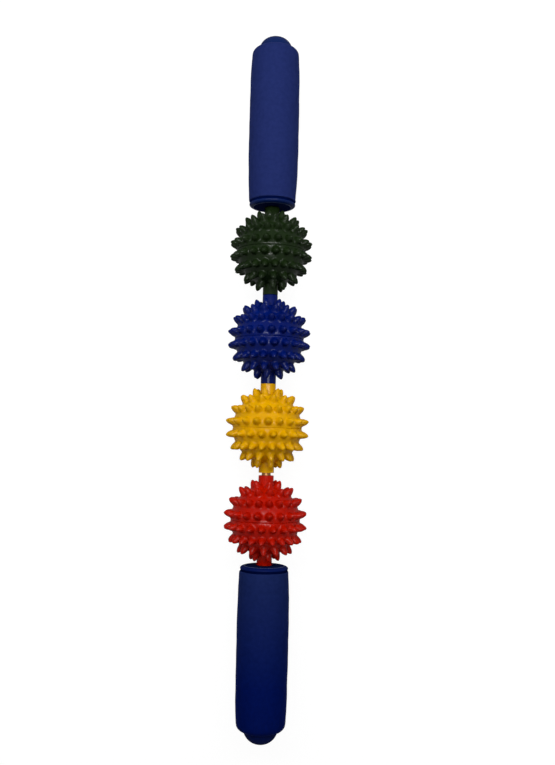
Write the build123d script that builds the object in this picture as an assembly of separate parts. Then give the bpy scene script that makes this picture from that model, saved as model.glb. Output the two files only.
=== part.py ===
from build123d import *
from math import acos, asin, atan2, cos, degrees, radians, sin
import os

# A massage roller stick: four hollow spiky balls turn freely on a steel rod between two foam-covered handles.
# Lengths are in millimetres and angles in degrees. The rod lies along Y, +Z is up, and X and Y are zero at the
# middle of the stick. Z is zero at the table under the lowest spikes. The upper handle is the one towards +Y.

# Steel rod
rod_radius = 2.75
rod_thread_radius = 2.5
rod_tip_chamfer = 0.5
rod_past_nut = 1.2

# Spiky balls, in order from the upper handle
ball_names = ("green", "blue", "yellow", "red")
ball_radius = 21.0
ball_wall = 1.8
ball_length = 53.9
seam_chamfer = 0.25
neck_radius = 4.6
neck_rounding = 0.8
neck_root_rounding = 0.9
hub_radius = 4.3
cavity_angles = (54, 28, 0)

# Spikes: rows from the parting line to the neck, and the first spike of each row
spike_latitudes = (10, 30, 50, 70)
spike_counts = (20, 20, 13, 6)
spike_turns = (0, 0, 12, 45)
spike_sides = 6
spike_reach = 25.7
spike_root = 0.6
spike_base_radius = 2.5
spike_tip_radius = 0.75

# How far the first spike of each half of each ball is turned about the rod, from straight up towards +X
upper_half_turns = (245, 58, 2, 331)
lower_half_turns = (296, 279, 244, 121.5)

# Clearances
running_clearance = 0.08
neck_gap = 0.2
end_float = 1.4
press_clearance = 0.03
foam_clearance = 0.1

# Collar that closes the inner end of a handle
collar_radius = 14.3
collar_face_radius = 12.0
collar_face_rounding = 0.4
collar_shoulder_rounding = 1.6
collar_stand = 3.3
collar_rim = 0.9
collar_groove_width = 0.6
collar_groove_depth = 1.4
collar_floor = 4.0
collar_spigot = 12.0
collar_hub_radius = 4.6

# Tube inside a handle
core_radius = 10.5
core_wall = 1.8
web_thickness = 4.0
web_boss_radius = 6.0
web_taper_run = 3.0

# Washer and nut that clamp a handle to the rod's shoulder
washer_radius = 5.0
washer_thickness = 1.0
nut_flats = 8.0
nut_sides = 6
nut_thickness = 4.0
nut_room = 1.5

# Domed cap that closes the outer end of a handle
cap_skirt = 5.0
cap_spigot = 8.0
cap_wall = 1.8
dome_stand = 8.3

# Foam grip
grip_length = 94.4
grip_end_radius = 14.4
grip_middle_radius = 15.5
grip_land = 24.0
grip_inner_rounding = 0.9
grip_outer_rounding = 3.1
grip_lip_rounding = 0.4

# Where the balls' stack ends and a handle's collar starts, from the middle of the stick
face_place = (len(ball_names) * ball_length + (len(ball_names) + 1) * neck_gap + end_float) / 2

# Heights in a handle, from the collar's face outwards
grip_start = collar_stand
grip_end = grip_start + grip_length
core_end = grip_end - cap_skirt
cap_start = core_end - cap_spigot
web_end = cap_start - nut_room - rod_past_nut - nut_thickness - washer_thickness
web_start = web_end - web_thickness
rod_end = web_end + washer_thickness + nut_thickness + rod_past_nut

# Bores and plugs
rod_bore = rod_radius + running_clearance
rod_hole = rod_radius + press_clearance
thread_hole = rod_thread_radius + press_clearance
core_bore = core_radius - core_wall
spigot_radius = core_bore - press_clearance


def lathe(outline, roundings=()):
    """Turns a closed outline in the X-Z plane, with X as the radius, about the Z axis.

    roundings lists ((radius, height), rounding) for the corners that are rounded off.
    """
    face = make_face(outline)
    for (radius, height), rounding in roundings:
        corner = face.vertices().sort_by_distance((radius, 0, height))[0]
        face = fillet(corner, rounding)
    return revolve(face, axis=Axis.Z)


def through(*points, close=False):
    """Straight edges through (radius, height) points."""
    return Polyline(*[(radius, 0, height) for radius, height in points], close=close)


def on_circle(radius, angle):
    """The (radius, height) of a point at a latitude on a ball round the origin."""
    return radius * cos(radians(angle)), radius * sin(radians(angle))


def make_spike():
    """One spike along Z: a blunt pyramid whose root is sunk into the ball's wall."""
    root = ball_radius - spike_root
    height = spike_reach - root
    flat_share = cos(radians(180 / spike_sides))
    slope = degrees(atan2((spike_base_radius - spike_tip_radius) * flat_share, height))
    base = Plane.XY.offset(root) * RegularPolygon(spike_base_radius, spike_sides)
    return extrude(base, amount=height, taper=slope)


def make_half_ball():
    """One moulded half of a ball with its neck up, its parting face at height zero and a hub round the rod."""
    neck_end = ball_length / 2
    inner_radius = ball_radius - ball_wall
    seam_angle = degrees(asin(seam_chamfer / ball_radius))
    neck_angle = degrees(acos(neck_radius / ball_radius))
    hub_angle = degrees(acos(hub_radius / inner_radius))
    seam_point = on_circle(ball_radius, seam_angle)
    neck_root = on_circle(ball_radius, neck_angle)
    middle = on_circle(ball_radius, (seam_angle + neck_angle) / 2)
    dome = ThreePointArc(*[(radius, 0, height) for radius, height in (seam_point, middle, neck_root)])
    walls = through(
        neck_root,
        (neck_radius, neck_end),
        (rod_bore, neck_end),
        (rod_bore, 0),
        (hub_radius, 0),
        on_circle(inner_radius, hub_angle),
        *[on_circle(inner_radius, angle) for angle in cavity_angles],
        (ball_radius - seam_chamfer, 0),
        seam_point,
    )
    roundings = [(neck_root, neck_root_rounding), ((neck_radius, neck_end), neck_rounding)]
    shell = lathe([dome, walls], roundings)

    spike = make_spike()
    spikes = [
        Rotation(0, 0, turn + 360 * number / count) * Rotation(0, 90 - latitude, 0) * spike
        for latitude, count, turn in zip(spike_latitudes, spike_counts, spike_turns)
        for number in range(count)
    ]
    return shell + spikes


def make_rod():
    """The rod along Z, with a thinner threaded stretch past a shoulder at each end."""
    shoulder = face_place + web_start
    tip = face_place + rod_end
    chamfered = rod_thread_radius - rod_tip_chamfer
    half = [
        (rod_radius, shoulder),
        (rod_thread_radius, shoulder),
        (rod_thread_radius, tip - rod_tip_chamfer),
        (chamfered, tip),
        (0, tip),
    ]
    mirrored = [(radius, -height) for radius, height in reversed(half)]
    return lathe(through(*mirrored, *half, close=True))


def make_collar():
    """The collar: a round-shouldered flange over a groove, a hub round the rod and a spigot in the tube."""
    spigot_end = collar_stand + collar_spigot
    rim_end = collar_stand - collar_groove_width
    groove_radius = collar_radius - collar_groove_depth
    outline = through(
        (rod_hole, 0),
        (collar_face_radius, 0),
        (collar_radius, rim_end - collar_rim),
        (collar_radius, rim_end),
        (groove_radius, rim_end),
        (groove_radius, collar_stand),
        (spigot_radius, collar_stand),
        (spigot_radius, spigot_end),
        (spigot_radius - core_wall, spigot_end),
        (spigot_radius - core_wall, collar_floor),
        (collar_hub_radius, collar_floor),
        (collar_hub_radius, spigot_end),
        (rod_hole, spigot_end),
        close=True,
    )
    shoulder = (collar_radius, rim_end - collar_rim)
    return lathe(outline, [((collar_face_radius, 0), collar_face_rounding), (shoulder, collar_shoulder_rounding)])


def make_core():
    """The tube inside a handle, with a tapered web near its outer end that the nut clamps."""
    outline = through(
        (thread_hole, web_start),
        (web_boss_radius, web_start),
        (core_bore, web_start - web_taper_run),
        (core_bore, collar_stand),
        (core_radius, collar_stand),
        (core_radius, core_end),
        (core_bore, core_end),
        (core_bore, web_end),
        (thread_hole, web_end),
        close=True,
    )
    return lathe(outline)


def make_washer():
    """The flat washer between the web and the nut."""
    end = web_end + washer_thickness
    outline = through(
        (thread_hole, web_end), (washer_radius, web_end), (washer_radius, end), (thread_hole, end), close=True
    )
    return lathe(outline)


def make_nut():
    """The hexagon nut on the thread."""
    start = web_end + washer_thickness
    hexagon = RegularPolygon(nut_flats / 2, nut_sides, major_radius=False) - Circle(thread_hole)
    return extrude(Plane.XY.offset(start) * hexagon, amount=nut_thickness)


def make_cap():
    """The hollow domed cap: a spigot in the tube, a skirt flush with the tube and a dome."""
    pole = grip_end + dome_stand
    hollow = spigot_radius - cap_wall
    dome = TangentArc((0, 0, pole), (core_radius, 0, grip_end), tangent=(1, 0, 0))
    inside = TangentArc((0, 0, pole - cap_wall), (hollow, 0, grip_end), tangent=(1, 0, 0))
    outer_wall = through(
        (core_radius, grip_end),
        (core_radius, core_end),
        (spigot_radius, core_end),
        (spigot_radius, cap_start),
        (hollow, cap_start),
        (hollow, grip_end),
    )
    axis = through((0, pole - cap_wall), (0, pole))
    return lathe([dome, outer_wall, inside, axis])


def make_grip():
    """The foam grip: a sleeve that swells to a straight stretch at its middle, rounded over at both ends."""
    inner = core_radius + foam_clearance
    start = grip_start + foam_clearance
    middle = (start + grip_end) / 2
    land_start = middle - grip_land / 2
    land_end = middle + grip_land / 2
    first_swell = TangentArc(
        (grip_middle_radius, 0, land_start), (grip_end_radius, 0, start), tangent=(0, 0, -1)
    )
    last_swell = TangentArc(
        (grip_middle_radius, 0, land_end), (grip_end_radius, 0, grip_end), tangent=(0, 0, 1)
    )
    land = through((grip_middle_radius, land_start), (grip_middle_radius, land_end))
    ends = through((grip_end_radius, grip_end), (inner, grip_end), (inner, start), (grip_end_radius, start))
    roundings = [
        ((grip_end_radius, start), grip_inner_rounding),
        ((grip_end_radius, grip_end), grip_outer_rounding),
        ((inner, grip_end), grip_lip_rounding),
    ]
    return lathe([first_swell, land, last_swell, ends], roundings)


def ball_places():
    """The middles of the balls along the rod: three necks meet, and the play lies above the last ball."""
    places = [face_place - neck_gap - ball_length / 2]
    for _ in ball_names[1:]:
        places.append(places[-1] - ball_length - neck_gap)
    places[-1] -= end_float
    return places


def place_balls():
    """Both halves of each ball, by name, with the rod's axis at height zero. The two halves are one moulding."""
    half = make_half_ball()
    halves = {}
    for name, place, upper_turn, lower_turn in zip(
        ball_names, ball_places(), upper_half_turns, lower_half_turns
    ):
        upper = Pos(0, place, 0) * Rotation(-90, 0, 0) * Rotation(0, 0, upper_turn - 90)
        lower = Pos(0, place, 0) * Rotation(90, 0, 0) * Rotation(0, 0, 90 - lower_turn)
        halves[f"{name}_ball_upper_half"] = upper * half
        halves[f"{name}_ball_lower_half"] = lower * half
    return halves


def place_handles():
    """The pieces of both handles, by name, with the rod's axis at height zero."""
    pieces = {
        "collar": make_collar(),
        "core_tube": make_core(),
        "foam_grip": make_grip(),
        "end_cap": make_cap(),
        "rod_washer": make_washer(),
        "rod_nut": make_nut(),
    }
    upper = Pos(0, face_place, 0) * Rotation(-90, 0, 0)
    lower = Pos(0, -face_place, 0) * Rotation(90, 0, 0)
    handles = {f"upper_{name}": upper * piece for name, piece in pieces.items()}
    handles.update({f"lower_{name}": lower * piece for name, piece in pieces.items()})
    return handles


def main():
    balls = place_balls()
    nodes = {"centre_rod": Rotation(-90, 0, 0) * make_rod(), **balls, **place_handles()}
    axis_height = -min(corner.Z for half in balls.values() for corner in half.vertices())
    os.makedirs("parts", exist_ok=True)
    for name, shape in nodes.items():
        export_step(Pos(0, 0, axis_height) * shape, f"parts/{name}.step")
    print(f"{len(nodes)} nodes, rod axis {axis_height:.3f} mm above the table")


main()
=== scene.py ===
"""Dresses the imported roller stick: spiky balls on a steel rod between foam-covered handles."""

import logging
import math
from dataclasses import dataclass
from enum import Enum
from typing import Sequence

import bpy
from mathutils import Matrix, Vector

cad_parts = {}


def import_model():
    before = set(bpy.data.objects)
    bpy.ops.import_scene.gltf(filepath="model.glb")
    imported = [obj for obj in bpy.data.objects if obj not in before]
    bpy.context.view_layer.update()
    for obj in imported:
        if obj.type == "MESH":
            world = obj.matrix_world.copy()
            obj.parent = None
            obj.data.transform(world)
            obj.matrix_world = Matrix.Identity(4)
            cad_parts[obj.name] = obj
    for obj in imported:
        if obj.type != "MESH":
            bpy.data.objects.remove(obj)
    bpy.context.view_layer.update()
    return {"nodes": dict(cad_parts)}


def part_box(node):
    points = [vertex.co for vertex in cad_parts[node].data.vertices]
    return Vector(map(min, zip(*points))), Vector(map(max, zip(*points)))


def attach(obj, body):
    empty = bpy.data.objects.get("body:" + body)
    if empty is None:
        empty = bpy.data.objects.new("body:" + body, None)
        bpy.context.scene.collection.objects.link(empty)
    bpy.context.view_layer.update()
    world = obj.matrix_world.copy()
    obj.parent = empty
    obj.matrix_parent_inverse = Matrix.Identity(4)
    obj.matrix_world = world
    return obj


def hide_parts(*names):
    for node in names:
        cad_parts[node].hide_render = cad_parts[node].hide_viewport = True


log = logging.getLogger("roller_stick")

MM = 0.001
WELD = 0.002 * MM  # the distance within which the doubled corners of a seam are joined
ROUNDING_STEPS = 3  # facets over a rounding

# Sizes that the pieces of a handle share, in millimetres
ROD_HOLE = 2.78  # the radius of the hole round the rod
PLUG = 8.67  # the radius of what plugs the tube
TUBE = 10.5  # the radius of the tube inside the foam

Colour = tuple[float, float, float]
Profile = Sequence[tuple[float, float]]
Piece = bpy.types.Object
Material = bpy.types.Material
Socket = bpy.types.NodeSocket


class Side(Enum):
    """Which half of a ball, or which handle: the upper one is towards the green ball."""

    UPPER = "upper"
    LOWER = "lower"

    @property
    def sign(self) -> int:
        """1 for the upper side and -1 for the lower one."""
        return 1 if self is Side.UPPER else -1


class Crease(Enum):
    """How sharp an edge has to be, in radians, before a step treats it as one."""

    SHADED = math.radians(50)
    MOULDED = math.radians(35)
    CAP = math.radians(40)


class CollarMark(Enum):
    """What differs from the plain plastic on a collar, by the place of its material: a painted
    highlight on the face's edge, painted shade in the groove, and a matt face.
    """

    RUBBED_EDGE = 1
    GROOVE_GRIME = 2
    MATT_FACE = 3


# Hand tools


def deselect() -> None:
    """Leaves nothing selected."""
    bpy.ops.object.select_all(action="DESELECT")


def pick(piece: Piece) -> None:
    """Makes a piece the only selected object, and the active one."""
    deselect()
    piece.select_set(True)
    bpy.context.view_layer.objects.active = piece


def name_piece(piece: Piece, name: str) -> Piece:
    """Names an object and its mesh alike."""
    piece.name = name
    piece.data.name = name
    return piece


def turn(name: str, profile: Profile, segments: int, closed: bool = False) -> Piece:
    """Draws a circle up through a profile of rings about the Z axis, as on a lathe.

    Args:
        name: The new piece's name.
        profile: The (radius, height) of each ring, in millimetres. A last radius of zero closes
            the piece to a pole.
        segments: The number of sides of a ring.
        closed: Whether the last ring meets the first one, as in a sleeve.

    Returns:
        The turned piece, with its faces pointing outwards.
    """
    rings = [(radius * MM, height * MM) for radius, height in profile]
    radius, height = rings[0]
    deselect()
    bpy.ops.mesh.primitive_circle_add(vertices=segments, radius=radius, location=(0, 0, height))
    piece = name_piece(bpy.context.active_object, name)
    bpy.ops.object.transform_apply(location=True, rotation=True, scale=True)
    bpy.ops.object.mode_set(mode="EDIT")
    bpy.ops.mesh.select_all(action="SELECT")
    for next_radius, next_height in rings[1:]:
        rise = (0, 0, next_height - height)
        bpy.ops.mesh.extrude_region_move(TRANSFORM_OT_translate={"value": rise})
        if next_radius == 0:
            bpy.ops.mesh.merge(type="CENTER")
            break
        share = next_radius / radius
        bpy.ops.transform.resize(value=(share, share, 1), center_override=(0, 0, 0))
        radius, height = next_radius, next_height
    bpy.ops.mesh.select_all(action="SELECT")
    if closed:
        bpy.ops.mesh.remove_doubles(threshold=WELD)
    bpy.ops.mesh.normals_make_consistent(inside=False)
    bpy.ops.object.mode_set(mode="OBJECT")
    return piece


def close_foot(piece: Piece) -> None:
    """Fills the open ring at the foot of a turned piece."""
    pick(piece)
    bpy.ops.object.mode_set(mode="EDIT")
    bpy.ops.mesh.select_all(action="DESELECT")
    bpy.ops.mesh.select_mode(type="EDGE")
    bpy.ops.mesh.select_non_manifold(extend=False)
    bpy.ops.mesh.edge_face_add()
    bpy.ops.mesh.select_mode(type="VERT")
    bpy.ops.mesh.select_all(action="SELECT")
    bpy.ops.mesh.normals_make_consistent(inside=False)
    bpy.ops.object.mode_set(mode="OBJECT")


def round_edges(piece: Piece, width: float, crease: Crease) -> None:
    """Rounds a piece's sharp edges.

    Args:
        piece: The piece.
        width: The width of the rounding, in millimetres.
        crease: The least angle of an edge that is rounded.
    """
    pick(piece)
    bevel = piece.modifiers.new("edge_rounding", "BEVEL")
    bevel.width = width * MM
    bevel.segments = ROUNDING_STEPS
    bevel.limit_method = "ANGLE"
    bevel.angle_limit = crease.value
    bevel.use_clamp_overlap = True
    bpy.ops.object.modifier_apply(modifier=bevel.name)


def shade(piece: Piece) -> None:
    """Shades a piece smooth, apart from its sharp edges."""
    pick(piece)
    bpy.ops.object.shade_smooth_by_angle(angle=Crease.SHADED.value)


def duplicate(piece: Piece, name: str, place: Matrix) -> Piece:
    """Copies a piece with its own mesh, and leaves the copy's place in its mesh.

    Args:
        piece: The piece to copy, at the origin.
        name: The copy's name.
        place: Where the copy goes.

    Returns:
        The copy.
    """
    pick(piece)
    bpy.ops.object.duplicate(linked=False)
    copy = name_piece(bpy.context.active_object, name)
    copy.matrix_world = place
    bpy.ops.object.transform_apply(location=True, rotation=True, scale=True)
    return copy


def join(pieces: Sequence[Piece], name: str) -> Piece:
    """Joins pieces into the first of them, and names it."""
    pick(pieces[0])
    for piece in pieces:
        piece.select_set(True)
    bpy.ops.object.join()
    return name_piece(bpy.context.active_object, name)


def scrap(piece: Piece) -> None:
    """Deletes a pattern piece once its copies are made."""
    pick(piece)
    bpy.ops.object.delete()


def dress(piece: Piece, material: Material) -> None:
    """Gives a whole piece one material."""
    piece.data.materials.clear()
    piece.data.materials.append(material)


def about(angle: float, axis: str) -> Matrix:
    """A turn by an angle in degrees about the X, Y or Z axis."""
    return Matrix.Rotation(math.radians(angle), 4, axis)


def along_rod(side: Side, place: float) -> Matrix:
    """Lays a piece that was made along Z on the rod, with its top towards its own end of the stick.

    Args:
        side: The end of the stick that the piece faces.
        place: Where the piece's zero goes along the rod, in metres.

    Returns:
        The placement.
    """
    return Matrix.Translation((0, place, rod_height())) @ about(-90 * side.sign, "X")


def rod_height() -> float:
    """The height of the rod's axis above the table, in metres."""
    low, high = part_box("centre_rod")
    return (low.z + high.z) / 2


def arc(radius: float, angles: Sequence[float]) -> list[tuple[float, float]]:
    """Points of a profile on a circle about its origin, at angles in degrees up from the plane."""
    turns = [math.radians(angle) for angle in angles]
    return [(radius * math.cos(turned), radius * math.sin(turned)) for turned in turns]


# Finishes

# Noise patterns: the cells per metre and the octaves of finer noise
FLOW_MARKS = (55, 4)
GLOSS_CLOUDS = (260, 5)
ORANGE_PEEL = (170, 2)
MOULD_GRAIN = (1300, 2)
FOAM_MOTTLE = (420, 6)
FOAM_RUB = (1500, 2)
FOAM_DIMPLES = (130, 3)
STEEL_GRAIN = (4000, 3)

MIDDLE = (0.3, 0.7)  # the strengths between which most of a noise pattern lies
MIX_INPUTS = (0, 6, 7)  # the factor and the two colours among a Mix node's inputs
MIX_RESULT = 2  # the mixed colour among its outputs


def linear(colour: Colour) -> tuple[float, ...]:
    """A colour as seen, from 0 to 255 each, as the linear colour that a shader takes."""
    shares = [value / 255 for value in colour]
    curved = [
        share / 12.92 if share <= 0.04045 else ((share + 0.055) / 1.055) ** 2.4 for share in shares
    ]
    return (*curved, 1.0)


class Nodes:
    """A material's node tree, with short calls for what the finishes share."""

    def __init__(self, name: str) -> None:
        """Starts a material that holds a Principled shader and its output."""
        self.material = bpy.data.materials.new(name)
        self.material.use_nodes = True
        self.tree = self.material.node_tree
        self.shader = self.tree.nodes["Principled BSDF"]
        self.coords = self.add("ShaderNodeTexCoord").outputs["Object"]

    def add(self, kind: str, **values: float | Sequence[float]) -> bpy.types.Node:
        """Adds a node and sets its inputs.

        Args:
            kind: The node's type.
            values: Values of inputs, by name with _ for a space.

        Returns:
            The node.
        """
        node = self.tree.nodes.new(kind)
        for key, value in values.items():
            node.inputs[key.replace("_", " ")].default_value = value
        return node

    def link(self, source: Socket, target: Socket) -> None:
        """Joins two sockets."""
        self.tree.links.new(source, target)

    def noise(self, scale: float, detail: float, stretch: Sequence[float] = (1, 1, 1)) -> Socket:
        """A noise pattern fixed to the object.

        Args:
            scale: Cells per metre.
            detail: The octaves of finer noise.
            stretch: How much finer the pattern is along X, Y and Z.

        Returns:
            The pattern's strength.
        """
        mapping = self.add("ShaderNodeMapping", Scale=stretch)
        texture = self.add("ShaderNodeTexNoise", Scale=scale, Detail=detail)
        self.link(self.coords, mapping.inputs["Vector"])
        self.link(mapping.outputs["Vector"], texture.inputs["Vector"])
        return texture.outputs["Fac"]

    def cells(self, scale: float) -> Socket:
        """A pattern of small closed cells, as the distance from each cell's middle."""
        texture = self.add("ShaderNodeTexVoronoi", Scale=scale)
        self.link(self.coords, texture.inputs["Vector"])
        return texture.outputs["Distance"]

    def tint(
        self, pattern: Socket, deep: Colour, pale: Colour, ends: tuple[float, float] = MIDDLE
    ) -> Socket:
        """Maps a pattern to the colours between two.

        Args:
            pattern: The pattern's strength.
            deep: The colour where the pattern is weak, from 0 to 255.
            pale: The colour where it is strong.
            ends: The strengths that get the plain deep and pale colours.

        Returns:
            The colour.
        """
        node = self.add("ShaderNodeValToRGB")
        for element, place, colour in zip(node.color_ramp.elements, ends, (deep, pale)):
            element.position = place
            element.color = linear(colour)
        self.link(pattern, node.inputs["Fac"])
        return node.outputs["Color"]

    def span(self, pattern: Socket, low: float, high: float) -> Socket:
        """Maps a pattern's middle range to values from low to high."""
        start, end = MIDDLE
        node = self.add("ShaderNodeMapRange", From_Min=start, From_Max=end, To_Min=low, To_Max=high)
        self.link(pattern, node.inputs["Value"])
        return node.outputs["Result"]

    def darken(self, colour: Socket, places: tuple[float, float], left: Colour) -> Socket:
        """Darkens a colour along the rod, as painted shade.

        Args:
            colour: The colour.
            places: Where the darkening starts and where it is full, along Y in metres.
            left: What is left of red, green and blue where it is full.

        Returns:
            The darkened colour.
        """
        split = self.add("ShaderNodeSeparateXYZ")
        self.link(self.coords, split.inputs["Vector"])
        share = self.add("ShaderNodeMapRange", From_Min=places[0], From_Max=places[1])
        self.link(split.outputs["Y"], share.inputs["Value"])
        mix = self.add("ShaderNodeMix")
        mix.data_type = "RGBA"
        mix.blend_type = "MULTIPLY"
        factor, first, second = (mix.inputs[number] for number in MIX_INPUTS)
        self.link(share.outputs["Result"], factor)
        self.link(colour, first)
        second.default_value = (*left, 1.0)
        return mix.outputs[MIX_RESULT]

    def bump(self, pattern: Socket, depth: float, under: Socket | None = None) -> Socket:
        """Turns a pattern into relief.

        Args:
            pattern: The pattern's strength.
            depth: The relief's height, in metres.
            under: A relief that this one lies on.

        Returns:
            The bent normal.
        """
        node = self.add("ShaderNodeBump", Distance=depth)
        self.link(pattern, node.inputs["Height"])
        if under is not None:
            self.link(under, node.inputs["Normal"])
        return node.outputs["Normal"]

    def send(self, source: Socket, target: str) -> None:
        """Sends a value to one of the shader's inputs."""
        self.link(source, self.shader.inputs[target])

    def fix(self, **values: float | Sequence[float]) -> None:
        """Sets constant values on the shader's own inputs, by name with _ for a space."""
        for key, value in values.items():
            self.shader.inputs[key.replace("_", " ")].default_value = value


@dataclass(frozen=True)
class MouldedPlastic:
    """An injection-moulded plastic: a dull body under a thin glossy skin with orange peel.

    Attributes:
        name: The material's name.
        deep: The colour where the pigment is densest, from 0 to 255.
        pale: The colour where it is thinnest.
        gloss: The lowest and highest roughness of the skin.
        shine: How much of the skin there is.
        flow: How much finer the flow marks in the pigment are along X, Y and Z.
        grain: The height of the skin's finest relief, in metres.
        peel: The height of its orange peel, in metres.
    """

    name: str
    deep: Colour
    pale: Colour
    gloss: tuple[float, float] = (0.13, 0.24)
    shine: float = 0.13
    flow: tuple[float, float, float] = (1.0, 0.45, 1.0)
    grain: float = 0.00002
    peel: float = 0.00006

    def make(self) -> Material:
        """The finish as a material."""
        nodes = Nodes(self.name)
        pigment = nodes.noise(*FLOW_MARKS, stretch=self.flow)
        nodes.send(nodes.tint(pigment, self.deep, self.pale), "Base Color")
        nodes.send(nodes.span(nodes.noise(*GLOSS_CLOUDS), *self.gloss), "Coat Roughness")
        skin = nodes.bump(nodes.noise(*MOULD_GRAIN), self.grain)
        relief = nodes.bump(nodes.noise(*ORANGE_PEEL), self.peel, skin)
        nodes.send(relief, "Normal")
        nodes.send(relief, "Coat Normal")
        nodes.fix(Roughness=0.6, Specular_IOR_Level=0.0, Coat_Weight=self.shine, Coat_IOR=1.5)
        return nodes.material


@dataclass(frozen=True)
class ClosedCellFoam:
    """A matt rubber foam with fine closed cells and a faint mottle.

    Attributes:
        name: The material's name.
        deep: The colour in the cells, from 0 to 255.
        pale: The colour of the skin between them.
        mottle: The strengths of the mottle that get the plain deep and pale colours.
        matt: The lowest and highest roughness.
        cell: The width of a cell, in metres.
        pore: The depth of a cell, in metres.
        dimple: The depth of the skin's shallow dimples, in metres.
        painted_shade_places: The places along the rod between which the foam is drawn darker as
            painted shade, in metres.
        painted_shade_left: What is left of red, green and blue where the painted shade is darkest.
    """

    name: str
    deep: Colour
    pale: Colour
    mottle: tuple[float, float] = (0.32, 0.68)
    matt: tuple[float, float] = (0.55, 0.75)
    cell: float = 0.0004
    pore: float = 0.00006
    dimple: float = 0.00025
    painted_shade_places: tuple[float, float] | None = None
    painted_shade_left: Colour = (1.0, 1.0, 1.0)

    def make(self) -> Material:
        """The finish as a material."""
        nodes = Nodes(self.name)
        colour = nodes.tint(nodes.noise(*FOAM_MOTTLE), self.deep, self.pale, self.mottle)
        # Painted shade: the colour is drawn darker along the rod between the given places
        if self.painted_shade_places is not None:
            colour = nodes.darken(colour, self.painted_shade_places, self.painted_shade_left)
        nodes.send(colour, "Base Color")
        nodes.send(nodes.span(nodes.noise(*FOAM_RUB), *self.matt), "Roughness")
        cells = nodes.bump(nodes.cells(1 / self.cell), self.pore)
        nodes.send(nodes.bump(nodes.noise(*FOAM_DIMPLES), self.dimple, cells), "Normal")
        nodes.fix(Specular_IOR_Level=0.005)
        return nodes.material


@dataclass(frozen=True)
class DrawnSteel:
    """Bright steel with the fine lines of drawing or turning.

    Attributes:
        name: The material's name.
        tone: The metal's colour, from 0 to 255.
        lines: How much finer the lines are along X, Y and Z.
        gloss: The lowest and highest roughness.
        shadow: How bright the lines are, as a share of the metal.
        depth: The depth of a line, in metres.
    """

    name: str
    tone: Colour
    lines: tuple[float, float, float] = (1.0, 0.02, 1.0)
    gloss: tuple[float, float] = (0.18, 0.34)
    shadow: float = 0.9
    depth: float = 0.000004

    def make(self) -> Material:
        """The finish as a material."""
        nodes = Nodes(self.name)
        grain = nodes.noise(*STEEL_GRAIN, stretch=self.lines)
        red, green, blue = (self.shadow * value for value in self.tone)
        nodes.send(nodes.tint(grain, (red, green, blue), self.tone), "Base Color")
        nodes.send(nodes.span(grain, *self.gloss), "Roughness")
        nodes.send(nodes.bump(grain, self.depth), "Normal")
        nodes.fix(Metallic=1.0)
        return nodes.material


# Sub-assemblies


@dataclass(frozen=True)
class Spike:
    """A massage spike: a bullet shape whose foot flares into the ball, in millimetres.

    Attributes:
        sides: The number of sides.
        outline: The (radius, distance from the ball's middle) of each ring, and last the tip.
    """

    sides: int = 12
    outline: tuple[tuple[float, float], ...] = (
        (3.2, 20.72),
        (2.66, 20.98),
        (2.27, 21.5),
        (2.08, 22.4),
        (1.72, 23.6),
        (1.2, 24.6),
        (0.68, 25.25),
        (0.0, 25.6),
    )

    def model(self) -> Piece:
        """One spike along Z, as a closed mesh."""
        spike = turn("spike", self.outline, self.sides)
        close_foot(spike)
        shade(spike)
        return spike


@dataclass(frozen=True)
class HalfMoulding:
    """One moulded half of a ball, neck up, with its parting face at height zero, in millimetres.

    Attributes:
        radius: The ball's radius between the spikes.
        wall: The thickness of its wall.
        reach: Where the neck ends, from the parting face.
        neck: The neck's radius.
        bore: The bore's radius.
        hub: The radius of the hub round the bore.
        groove: The chamfer that makes the parting line, along the wall and in from it.
        rounding: The width of the rounding at the neck's edges and foot.
        ring_step: The angle between the rings of the ball, in degrees.
        inner_rings: The latitudes of the rings inside the wall, in degrees.
        segments: The number of sides of a ring.
        rows: The latitude, the number of spikes and the first spike's turn of each row, in degrees.
    """

    radius: float = 21.0
    wall: float = 1.8
    reach: float = 26.95
    neck: float = 4.6
    bore: float = 2.83
    hub: float = 4.3
    groove: tuple[float, float] = (0.26, 0.28)
    rounding: float = 0.7
    ring_step: float = 4.0
    inner_rings: tuple[float, ...] = (0, 20, 40, 60)
    segments: int = 96
    rows: tuple[tuple[float, int, float], ...] = (
        (10, 20, 0),
        (30, 20, 0),
        (50, 13, 12),
        (70, 6, 45),
    )

    def outline(self) -> list[tuple[float, float]]:
        """The closed outline of the hollow half, as (radius, height)."""
        inner = self.radius - self.wall
        top = math.degrees(math.acos(self.neck / self.radius))
        foot = math.degrees(math.asin(self.groove[0] / self.radius))
        count = round((top - foot) / self.ring_step)
        return [
            (self.bore, 0.0),
            (self.bore, self.reach),
            (self.neck, self.reach),
            *arc(self.radius, [top + (foot - top) * step / count for step in range(count + 1)]),
            (self.radius - self.groove[1], 0.0),
            *arc(inner, self.inner_rings),
            (self.hub, math.sqrt(inner**2 - self.hub**2)),
            (self.hub, 0.0),
            (self.bore, 0.0),
        ]

    def model(self) -> Piece:
        """The half with all its spikes, along Z."""
        shell = turn("moulding_shell", self.outline(), self.segments, closed=True)
        round_edges(shell, self.rounding, Crease.MOULDED)
        shade(shell)
        pattern = Spike().model()
        places = [
            about(first + 360 * number / count, "Z") @ about(90 - latitude, "Y")
            for latitude, count, first in self.rows
            for number in range(count)
        ]
        spikes = [duplicate(pattern, "spike_copy", place) for place in places]
        scrap(pattern)
        return join([shell, *spikes], "half_moulding")


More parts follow.
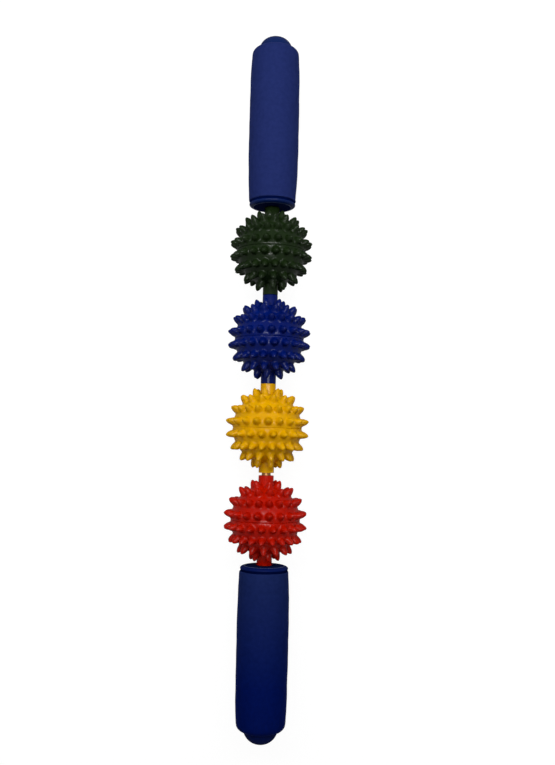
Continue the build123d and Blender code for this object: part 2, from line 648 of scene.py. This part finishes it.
@dataclass(frozen=True)
class SpikyBall:
    """A ball of two halves of one moulding.

    Attributes:
        name: The ball's colour, which its nodes and its body carry.
        finish: Its plastic.
        upper_turn: How far the upper half's first spike is turned about the rod, in degrees from
            straight up towards +X.
        lower_turn: The same of the lower half.
    """

    name: str
    finish: MouldedPlastic
    upper_turn: float
    lower_turn: float

    def place(self, side: Side) -> Matrix:
        """Where a half goes, with its parting face against the other half's."""
        low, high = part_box(f"{self.name}_ball_{side.value}_half")
        parting = low.y if side is Side.UPPER else high.y
        turned = self.upper_turn - 90 if side is Side.UPPER else 90 - self.lower_turn
        return along_rod(side, parting) @ about(turned, "Z")

    def build(self, moulding: Piece) -> list[Piece]:
        """Copies the moulding to both halves and dresses them.

        Args:
            moulding: The half that all balls share, along Z.

        Returns:
            The upper and the lower half.
        """
        material = self.finish.make()
        halves = []
        for side in Side:
            half = duplicate(moulding, f"{self.name}_ball_{side.value}_moulding", self.place(side))
            dress(half, material)
            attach(half, f"{self.name}_ball")
            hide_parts(f"{self.name}_ball_{side.value}_half")
            halves.append(half)
        return halves


@dataclass(frozen=True)
class Collar:
    """The flange at a grip's inner end, with a hollow spigot in the tube, in millimetres.

    Attributes:
        face: The radius of its flat face.
        flange: Its radius.
        slope: The slope of its round shoulder at the face, in degrees.
        stand: How far it stands out of the foam.
        rim: The height of its straight rim.
        groove: The width and the depth of the groove between the rim and the foam.
        flank: The length of the groove's sloping flank.
        seat: The radius and the depth of the shallow seat round the rod.
        edge: How far the edge of its face, which gets a painted highlight, reaches to both sides,
            and how far it drops.
        spigot: How far its spigot reaches past the flange.
        spigot_wall: The thickness of the spigot's wall.
        floor: Where the hollow of the spigot starts, from the face.
        hub: The radius of the hub round the rod.
        rounding: The width of the rounding of its edges.
        shoulder_rings: The number of rings of its shoulder.
        segments: The number of sides of a ring.
        near: How near to the face's edge or the groove a place has to be to get the painted
            highlight or the painted shade.
        matt_depth: How deep in its face the matt surface reaches.
    """

    face: float
    flange: float
    slope: float
    stand: float = 3.3
    rim: float = 0.4
    groove: tuple[float, float] = (1.4, 0.25)
    flank: float = 0.1
    seat: tuple[float, float] = (5.3, 0.25)
    edge: tuple[float, float] = (0.12, 0.06)
    spigot: float = 12.0
    spigot_wall: float = 1.8
    floor: float = 4.0
    hub: float = 4.6
    rounding: float = 0.2
    shoulder_rings: int = 8
    segments: int = 96
    near: float = 0.1
    matt_depth: float = 0.3

    def shoulder(self) -> list[tuple[float, float]]:
        """The rings of the shoulder, which steepens evenly from its slope at the face."""
        low = math.radians(self.slope)
        reach = self.flange - self.face
        rise = self.stand - self.groove[0] - self.rim
        steps = range(1, self.shoulder_rings + 1)
        angles = [low + (math.pi / 2 - low) * step / self.shoulder_rings for step in steps]
        return [
            (
                self.face + reach * (math.sin(angle) - math.sin(low)) / (1 - math.sin(low)),
                rise * (math.cos(low) - math.cos(angle)) / math.cos(low),
            )
            for angle in angles
        ]

    def model(self) -> Piece:
        """The collar along Z, with its face at height zero."""
        seat_radius, seat_depth = self.seat
        edge_reach, edge_drop = self.edge
        rim_end = self.stand - self.groove[0]
        groove_floor = self.flange - self.groove[1]
        end = self.stand + self.spigot
        hollow = PLUG - self.spigot_wall
        profile = [
            (ROD_HOLE, seat_depth),
            (seat_radius, seat_depth),
            (seat_radius + seat_depth, 0.0),
            (self.face - edge_reach, 0.0),
            (self.face + edge_reach, edge_drop),
            *self.shoulder(),
            (self.flange, rim_end),
            (groove_floor, rim_end + self.flank),
            (groove_floor, self.stand),
            (PLUG, self.stand),
            (PLUG, end),
            (hollow, end),
            (hollow, self.floor),
            (self.hub, self.floor),
            (self.hub, end),
            (ROD_HOLE, end),
            (ROD_HOLE, seat_depth),
        ]
        piece = turn("collar", profile, self.segments, closed=True)
        round_edges(piece, self.rounding, Crease.MOULDED)
        shade(piece)
        return piece

    def trace(self, reach: float, depth: float) -> CollarMark | None:
        """What shows on its surface at a place: the painted highlight, the painted shade or the
        matt face.

        Args:
            reach: The place's distance from the rod's axis.
            depth: Its depth behind the face.

        Returns:
            The painted highlight, the painted shade or the matt face, or None where the plastic is
            plain.
        """
        groove_floor = self.flange - self.groove[1]
        # A painted highlight along the face's edge, drawn paler than the plastic
        if abs(reach - self.face) < self.near and depth < self.near:
            return CollarMark.RUBBED_EDGE
        # Painted shade in the groove between the rim and the foam, drawn darker than the plastic
        if (
            groove_floor - self.near < reach < self.flange - 2 * self.near
            and depth > self.stand - self.groove[0]
        ):
            return CollarMark.GROOVE_GRIME
        if reach < self.face and depth < self.matt_depth:
            return CollarMark.MATT_FACE
        return None


@dataclass(frozen=True)
class Grip:
    """The foam sleeve: a swelling outside, rounded ends and a skin that isn't quite even.

    Heights count from the collar's face, and all lengths are in millimetres.

    Attributes:
        radii: Its radius at its inner end, its middle and its outer end.
        roundings: How far the roundings of its inner and its outer end reach along it and in
            from it.
        end: Where it ends.
        land: The length of its straight middle.
        gap: The clearance to the collar and to the tube.
        lip: The chamfer of its mouth round the cap, in from it and along it.
        end_rings: How far the rings of its ends are from either end.
        body_rings: The number of steps between the rings of both ends.
        segments: The number of sides of a ring.
        skin: How far outside the collar's radius the dents start.
        dent: The width of the dents, and how far the skin moves from the deepest to the highest.
        inward: The share of that motion which goes inwards.
    """

    radii: tuple[float, float, float]
    roundings: tuple[tuple[float, float], tuple[float, float]]
    end: float = 97.7
    land: float = 24.0
    gap: float = 0.1
    lip: tuple[float, float] = (0.35, 0.4)
    end_rings: tuple[float, ...] = (0.0, 0.05, 0.2, 0.45, 0.8, 1.25, 1.8, 2.5, 3.3, 4.2)
    body_rings: int = 50
    segments: int = 128
    skin: float = 0.3
    dent: tuple[float, float] = (11.0, 0.5)
    inward: float = 0.75

    def swell(self, height: float, start: float) -> float:
        """Its radius at a height, with both ends rounded over.

        Args:
            height: The height.
            start: Where the foam starts.

        Returns:
            The radius.
        """
        inner_radius, middle_radius, outer_radius = self.radii
        middle = (start + self.end) / 2
        run = (self.end - start - self.land) / 2
        past = max(0.0, abs(height - middle) - self.land / 2) / run
        end_radius = inner_radius if height < middle else outer_radius
        radius = middle_radius - (middle_radius - end_radius) * past**2
        for edge, (reach, drop) in zip((start, self.end), self.roundings):
            depth = abs(height - edge) / reach
            if depth < 1:
                radius -= drop * (1 - math.sqrt(1 - (1 - depth) ** 2))
        return radius

    def model(self, collar: Collar) -> Piece:
        """The sleeve along Z.

        Args:
            collar: The collar that it ends at.

        Returns:
            The sleeve.
        """
        start = collar.stand + self.gap
        last = self.end_rings[-1]
        body = self.end - start - 2 * last
        heights = [start + rise for rise in self.end_rings]
        heights += [
            start + last + body * step / self.body_rings for step in range(1, self.body_rings)
        ]
        heights += [self.end - rise for rise in reversed(self.end_rings)]
        outside = [(self.swell(height, start), height) for height in heights]
        inner = TUBE + self.gap
        lip_reach, lip_depth = self.lip
        inside = [(inner + lip_reach, self.end), (inner, self.end - lip_depth), (inner, start)]
        profile = [*outside, *inside, outside[0]]
        piece = turn("foam_grip", profile, self.segments, closed=True)
        self.press(piece, collar.flange + self.skin)
        shade(piece)
        return piece

    def press(self, piece: Piece, least: float) -> None:
        """Presses the foam's outside in by up to a few tenths of a millimetre, as handling does.

        Args:
            piece: The sleeve.
            least: The least radius of what is pressed.
        """
        pick(piece)
        group = piece.vertex_groups.new(name="skin")
        skin = [v.index for v in piece.data.vertices if math.hypot(v.co.x, v.co.y) > least * MM]
        group.add(skin, 1.0, "REPLACE")
        width, height = self.dent
        texture = bpy.data.textures.new("foam_dents", "CLOUDS")
        texture.noise_scale = width * MM
        texture.noise_depth = 3
        press = piece.modifiers.new("dents", "DISPLACE")
        press.texture = texture
        press.texture_coords = "LOCAL"
        press.vertex_group = group.name
        press.mid_level = self.inward
        press.strength = height * MM
        bpy.ops.object.modifier_apply(modifier=press.name)
        piece.vertex_groups.clear()


@dataclass(frozen=True)
class Cap:
    """The domed cap of a grip's outer end, with the small round mark of its moulding gate.

    Heights count from the collar's face, and all lengths are in millimetres.

    Attributes:
        sink: How deep the dome's foot is in the foam.
        power: How full the dome is: 2 for an ellipse, more for a fuller one.
        pole: Where the dome's pole is.
        skirt: How far its wide part reaches into the foam.
        spigot: How far its spigot reaches, from the foam's end.
        gate: The (radius, depth under the pole) of the rings of the gate mark.
        dome_turn: Where the dome's rings end, in degrees up from its foot.
        dome_rings: The number of steps between the dome's rings.
        rounding: The width of the rounding of its edges.
        segments: The number of sides of a ring.
    """

    sink: float = 1.5
    power: float = 2.05
    pole: float = 106.0
    skirt: float = 5.0
    spigot: float = 13.0
    gate: tuple[tuple[float, float], ...] = ((0.7, 0.02), (0.66, 0.14), (0.0, 0.14))
    dome_turn: float = 86.0
    dome_rings: int = 24
    rounding: float = 0.3
    segments: int = 96

    def model(self, foam_end: float) -> Piece:
        """The cap along Z.

        Args:
            foam_end: Where the foam ends.

        Returns:
            The cap.
        """
        foot = foam_end - self.sink
        power = 2 / self.power
        full = math.radians(self.dome_turn)
        angles = [full * step / self.dome_rings for step in range(self.dome_rings + 1)]
        profile = [
            (PLUG, foam_end - self.spigot),
            (PLUG, foam_end - self.skirt),
            (TUBE, foam_end - self.skirt),
            *(
                (
                    TUBE * math.cos(angle) ** power,
                    foot + (self.pole - foot) * math.sin(angle) ** power,
                )
                for angle in angles
            ),
            *((radius, self.pole - depth) for radius, depth in self.gate),
        ]
        piece = turn("cap", profile, self.segments)
        close_foot(piece)
        round_edges(piece, self.rounding, Crease.CAP)
        shade(piece)
        return piece


@dataclass(frozen=True)
class Handle:
    """One handle: a collar, a foam grip and a domed cap, made along Z from the collar's face.

    Attributes:
        side: Which handle it is.
        collar: Its collar.
        grip: Its foam grip.
        cap: Its cap.
    """

    side: Side
    collar: Collar
    grip: Grip
    cap: Cap = Cap()

    def start(self) -> float:
        """Where the collar's face is along the rod, in metres."""
        low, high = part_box(f"{self.side.value}_collar")
        return low.y if self.side is Side.UPPER else high.y

    def lay(self, piece: Piece, kind: str, material: Material) -> Piece:
        """Lays a finished piece on the rod and lets it stand for its CAD node.

        Args:
            piece: The piece, along Z.
            kind: What it is, as in the node's name.
            material: Its material.

        Returns:
            The piece.
        """
        name = f"{self.side.value}_{kind}_dressed"
        laid = duplicate(piece, name, along_rod(self.side, self.start()))
        scrap(piece)
        dress(laid, material)
        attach(laid, "stick")
        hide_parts(f"{self.side.value}_{kind}")
        return laid

    def paint_collar_marks(self, laid: Piece, collar_marks: dict[CollarMark, Material]) -> None:
        """Paints a highlight on the laid collar's face edge and shade in its groove, and gives it
        its matt face.

        Args:
            laid: The collar on the rod.
            collar_marks: The material of the painted highlight, the painted shade and the matt
                face.
        """
        for trace in CollarMark:
            laid.data.materials.append(collar_marks[trace])
        height, start = rod_height(), self.start()
        for face in laid.data.polygons:
            reach = math.hypot(face.center.x, face.center.z - height) / MM
            depth = abs(face.center.y - start) / MM
            trace = self.collar.trace(reach, depth)
            if trace is not None:
                face.material_index = trace.value

    def build(
        self, plastic: Material, collar_marks: dict[CollarMark, Material], foam: Material
    ) -> list[Piece]:
        """Models and lays all pieces of the handle.

        Args:
            plastic: The material of the collar and the cap.
            collar_marks: The materials of the painted highlight, the painted shade and the matt
                face of the collar.
            foam: The material of the grip.

        Returns:
            The pieces.
        """
        collar = self.lay(self.collar.model(), "collar", plastic)
        self.paint_collar_marks(collar, collar_marks)
        cap = self.lay(self.cap.model(self.grip.end), "end_cap", plastic)
        grip = self.lay(self.grip.model(self.collar), "foam_grip", foam)
        return [collar, cap, grip]


@dataclass(frozen=True)
class Hardware:
    """The rod, and what the foam and the caps hide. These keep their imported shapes.

    Attributes:
        rod: The rod's steel.
        fastener: The steel of the washers and nuts.
    """

    rod: DrawnSteel
    fastener: DrawnSteel

    def build(self, nodes: dict[str, Piece], plastics: dict[Side, Material]) -> list[Piece]:
        """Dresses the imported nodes.

        Args:
            nodes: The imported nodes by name.
            plastics: The material of each core tube.

        Returns:
            The dressed nodes.
        """
        fastener = self.fastener.make()
        materials: dict[str, Material] = {"centre_rod": self.rod.make()}
        for side in Side:
            materials[f"{side.value}_rod_washer"] = fastener
            materials[f"{side.value}_rod_nut"] = fastener
            materials[f"{side.value}_core_tube"] = plastics[side]
        for name, material in materials.items():
            dress(nodes[name], material)
        return [nodes[name] for name in materials]


# Studio


def seen_share(tree: bpy.types.NodeTree, low: float, high: float) -> Socket:
    """A value that differs between rays that see a surface or the sky and rays that carry light.

    Args:
        tree: The node tree.
        low: The value for rays that carry light.
        high: The value for camera, glossy and transmission rays.

    Returns:
        The value.
    """
    path = tree.nodes.new("ShaderNodeLightPath")
    seen = path.outputs["Is Camera Ray"]
    for ray in ("Is Glossy Ray", "Is Transmission Ray"):
        either = tree.nodes.new("ShaderNodeMath")
        either.operation = "MAXIMUM"
        tree.links.new(seen, either.inputs[0])
        tree.links.new(path.outputs[ray], either.inputs[1])
        seen = either.outputs[0]
    span = tree.nodes.new("ShaderNodeMapRange")
    span.inputs["To Min"].default_value = low
    span.inputs["To Max"].default_value = high
    tree.links.new(seen, span.inputs["Value"])
    return span.outputs["Result"]


@dataclass(frozen=True)
class SoftBox:
    """A rectangular soft light that faces the stick.

    Attributes:
        name: The lamp's name.
        place: Where it hangs, in metres.
        aim: The point that it faces.
        size: Its width and length, in metres.
        power: Its power, in watts.
        glints: Whether the stick's gloss mirrors it.
        lights: Whether it lights the stick too, apart from its mirror image.
    """

    name: str
    place: tuple[float, float, float]
    aim: tuple[float, float, float]
    size: tuple[float, float]
    power: float
    glints: bool = True
    lights: bool = True

    def hang(self) -> None:
        """Adds the lamp."""
        lamp = bpy.data.lights.new(self.name, "AREA")
        lamp.shape = "RECTANGLE"
        lamp.size, lamp.size_y = self.size
        lamp.energy = self.power
        holder = bpy.data.objects.new(self.name, lamp)
        bpy.context.scene.collection.objects.link(holder)
        facing = Vector(self.aim) - Vector(self.place)
        holder.location = self.place
        holder.rotation_euler = facing.to_track_quat("-Z", "Y").to_euler()
        holder.visible_camera = False
        holder.visible_glossy = self.glints
        holder.visible_diffuse = self.lights


@dataclass(frozen=True)
class Studio:
    """The floor, the lights and the camera.

    Attributes:
        camera_place: Where the camera is, in metres.
        camera_turn: Its rotation about X, Y and Z, in degrees.
        lens: Its focal length, in millimetres.
        sensor: The width of its sensor, in millimetres.
        rise: The lens shift that frames the stick, as a share of the picture's height.
        clip: The nearest and the farthest distance that it sees, in metres.
        floor_size: The floor's width, in metres.
        floor_tone: How much light the floor gives back, of 1.
        glow_reach: The distances from the stick between which the floor's glow grows, in metres.
        glow: The strength of the glow near the stick and far off, where it is seen.
        glow_share: The share of glow in what is seen of the floor. The rest keeps the shadow.
        ambient: The strength of the light from all round.
        lamps: The soft lights.
    """

    camera_place: tuple[float, float, float] = (0.005926, -0.034921, 0.548807)
    camera_turn: tuple[float, float, float] = (2.4624, -0.0551, 1.2808)
    lens: float = 40.565
    sensor: float = 36.0
    rise: float = 0.0301
    clip: tuple[float, float] = (0.01, 20.0)
    floor_size: float = 8.0
    floor_tone: float = 0.4
    glow_reach: tuple[float, float] = (0.25, 0.9)
    glow: tuple[float, float] = (1.335, 1.45)
    glow_share: float = 0.7
    ambient: float = 0.1
    lamps: tuple[SoftBox, ...] = (
        SoftBox("wide_key", (0, 0.28, 0.36), (0, 0.2, 0.02), (1.2, 0.3), 2.2, glints=False),
        SoftBox("far_strip", (0, 0.17, 0.57), (0, 0, 0.02), (0.64, 0.02), 1.3),
        SoftBox("far_glint", (0, 0.17, 0.571), (0, 0, 0.02), (0.64, 0.05), 2.6, lights=False),
        SoftBox("near_glint", (0, -0.11, 0.581), (0, -0.1, 0.02), (0.3, 0.012), 1.5, lights=False),
        SoftBox("near_strip", (0, -0.11, 0.58), (0, -0.1, 0.02), (0.3, 0.012), 0.5),
    )

    def camera(self) -> None:
        """Sets the camera above the stick, as in the photograph."""
        lens = bpy.data.cameras.new("plan_camera")
        lens.lens = self.lens
        lens.sensor_width = self.sensor
        lens.sensor_fit = "AUTO"
        lens.shift_y = self.rise
        lens.clip_start, lens.clip_end = self.clip
        holder = bpy.data.objects.new("plan_camera", lens)
        bpy.context.scene.collection.objects.link(holder)
        holder.location = self.camera_place
        holder.rotation_euler = [math.radians(angle) for angle in self.camera_turn]
        bpy.context.scene.camera = holder

    def pale_floor(self) -> Material:
        """The floor's material: a matt grey that takes the shadow, under a glow only seen."""
        nodes = Nodes("pale_floor")
        tone = (self.floor_tone, self.floor_tone, self.floor_tone, 1.0)
        nodes.fix(Base_Color=tone, Roughness=0.9, Specular_IOR_Level=0.1)
        distance = nodes.add("ShaderNodeVectorMath")
        distance.operation = "LENGTH"
        nodes.link(nodes.coords, distance.inputs[0])
        (start, end), (near, far) = self.glow_reach, self.glow
        strength = nodes.add(
            "ShaderNodeMapRange", From_Min=start, From_Max=end, To_Min=near, To_Max=far
        )
        nodes.link(distance.outputs["Value"], strength.inputs["Value"])
        glow = nodes.add("ShaderNodeEmission")
        nodes.link(strength.outputs["Result"], glow.inputs["Strength"])
        mix = nodes.add("ShaderNodeMixShader")
        nodes.link(seen_share(nodes.tree, 0.0, self.glow_share), mix.inputs["Fac"])
        nodes.link(nodes.shader.outputs[0], mix.inputs[1])
        nodes.link(glow.outputs[0], mix.inputs[2])
        nodes.link(mix.outputs[0], nodes.tree.nodes["Material Output"].inputs["Surface"])
        return nodes.material

    def floor(self) -> None:
        """Lays the pale floor, which keeps the stick's shadow."""
        deselect()
        bpy.ops.mesh.primitive_plane_add(size=self.floor_size, location=(0, 0, 0))
        floor = name_piece(bpy.context.active_object, "studio_floor")
        dress(floor, self.pale_floor())

    def light(self) -> None:
        """Sets the world's light and hangs the lamps."""
        world = bpy.data.worlds.new("studio")
        bpy.context.scene.world = world
        world.use_nodes = True
        tree = world.node_tree
        background = tree.nodes["Background"]
        background.inputs["Color"].default_value = (1, 1, 1, 1)
        tree.links.new(seen_share(tree, self.ambient, 1.0), background.inputs["Strength"])
        for lamp in self.lamps:
            lamp.hang()
        bpy.context.scene.view_settings.view_transform = "Standard"

    def build(self) -> None:
        """Sets up the whole studio."""
        self.camera()
        self.floor()
        self.light()


BALLS = (
    SpikyBall("green", MouldedPlastic("green_gloss", (16, 30, 9), (26, 40, 17)), 245, 296),
    SpikyBall("blue", MouldedPlastic("blue_gloss", (0, 14, 82), (1, 23, 99)), 58, 279),
    SpikyBall("yellow", MouldedPlastic("yellow_gloss", (204, 149, 0), (224, 168, 0)), 2, 244),
    SpikyBall("red", MouldedPlastic("red_gloss", (168, 14, 0), (186, 22, 1)), 331, 121.5),
)
HANDLES = (
    Handle(
        Side.UPPER,
        Collar(face=11.6, flange=14.05, slope=18.0),
        Grip(radii=(14.3, 15.4, 14.3), roundings=((0.6, 0.5), (3.8, 3.3)), end=98.2),
        Cap(sink=2.0, power=2.3),
    ),
    Handle(
        Side.LOWER,
        Collar(face=12.3, flange=14.5, slope=45.0),
        Grip(radii=(14.95, 15.75, 14.8), roundings=((0.6, 0.5), (4.4, 3.8))),
    ),
)
# The two handles are one plastic in a lit and a shaded copy: the upper one is drawn paler and
# glossier as painted light, the lower one deeper as painted shade
HANDLE_PLASTICS = {
    Side.UPPER: MouldedPlastic(
        "upper_handle_satin", (12, 29, 77), (16, 36, 87), gloss=(0.2, 0.34), shine=0.09
    ),
    Side.LOWER: MouldedPlastic(
        "lower_handle_satin", (9, 23, 78), (13, 29, 90), gloss=(0.2, 0.34), shine=0.025
    ),
}
COLLAR_MARKS = {
    # A painted highlight along the collar's face edge
    CollarMark.RUBBED_EDGE: MouldedPlastic(
        "handle_painted_edge_highlight", (100, 112, 148), (120, 132, 164), gloss=(0.3, 0.4), shine=0.04
    ),
    # Painted shade in the groove between the collar's rim and the foam
    CollarMark.GROOVE_GRIME: MouldedPlastic(
        "handle_painted_groove_shade", (1, 10, 52), (2, 14, 60), gloss=(0.4, 0.6), shine=0.0
    ),
    CollarMark.MATT_FACE: MouldedPlastic(
        "handle_matt_face", (8, 22, 66), (13, 28, 78), gloss=(0.5, 0.7), shine=0.02
    ),
}
# The two grips are one foam in a lit and a shaded copy: the upper one is drawn slightly paler as
# painted light, the lower one darker towards its end as painted shade
GRIP_FOAMS = {
    Side.UPPER: ClosedCellFoam("upper_grip_foam_blue", (28, 39, 89), (32, 43, 95)),
    Side.LOWER: ClosedCellFoam(
        "lower_grip_foam_blue",
        (24, 38, 86),
        (28, 42, 93),
        # painted shade: darker towards the lower grip's end
        painted_shade_places=(-0.11, -0.18),
        painted_shade_left=(0.08, 0.32, 0.92),
    ),
}
# The rod's warm brown tone is a painted reflection of the yellow and red balls on the steel
ROD_STEEL = DrawnSteel("rod_steel_painted_reflection", (126, 88, 54), gloss=(0.34, 0.48))
FASTENER_STEEL = DrawnSteel(
    "fastener_zinc_steel", (190, 192, 190), lines=(1.0, 1.0, 0.05), gloss=(0.25, 0.4)
)


def report(step: str, pieces: Sequence[Piece]) -> None:
    """Reports the pieces of a step and their faces."""
    for piece in pieces:
        log.info("%s: %s, %d faces", step, piece.name, len(piece.data.polygons))


def main() -> None:
    """Builds the studio and the stick, piece by piece."""
    logging.basicConfig(level=logging.INFO, format="%(name)s %(message)s")
    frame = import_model()
    Studio().build()
    moulding = HalfMoulding().model()
    for ball in BALLS:
        report("ball", ball.build(moulding))
    scrap(moulding)
    plastics = {side: finish.make() for side, finish in HANDLE_PLASTICS.items()}
    collar_marks = {trace: finish.make() for trace, finish in COLLAR_MARKS.items()}
    for handle in HANDLES:
        foam = GRIP_FOAMS[handle.side].make()
        report("handle", handle.build(plastics[handle.side], collar_marks, foam))
    report("hardware", Hardware(ROD_STEEL, FASTENER_STEEL).build(frame["nodes"], plastics))


if __name__ == "__main__":
    main()
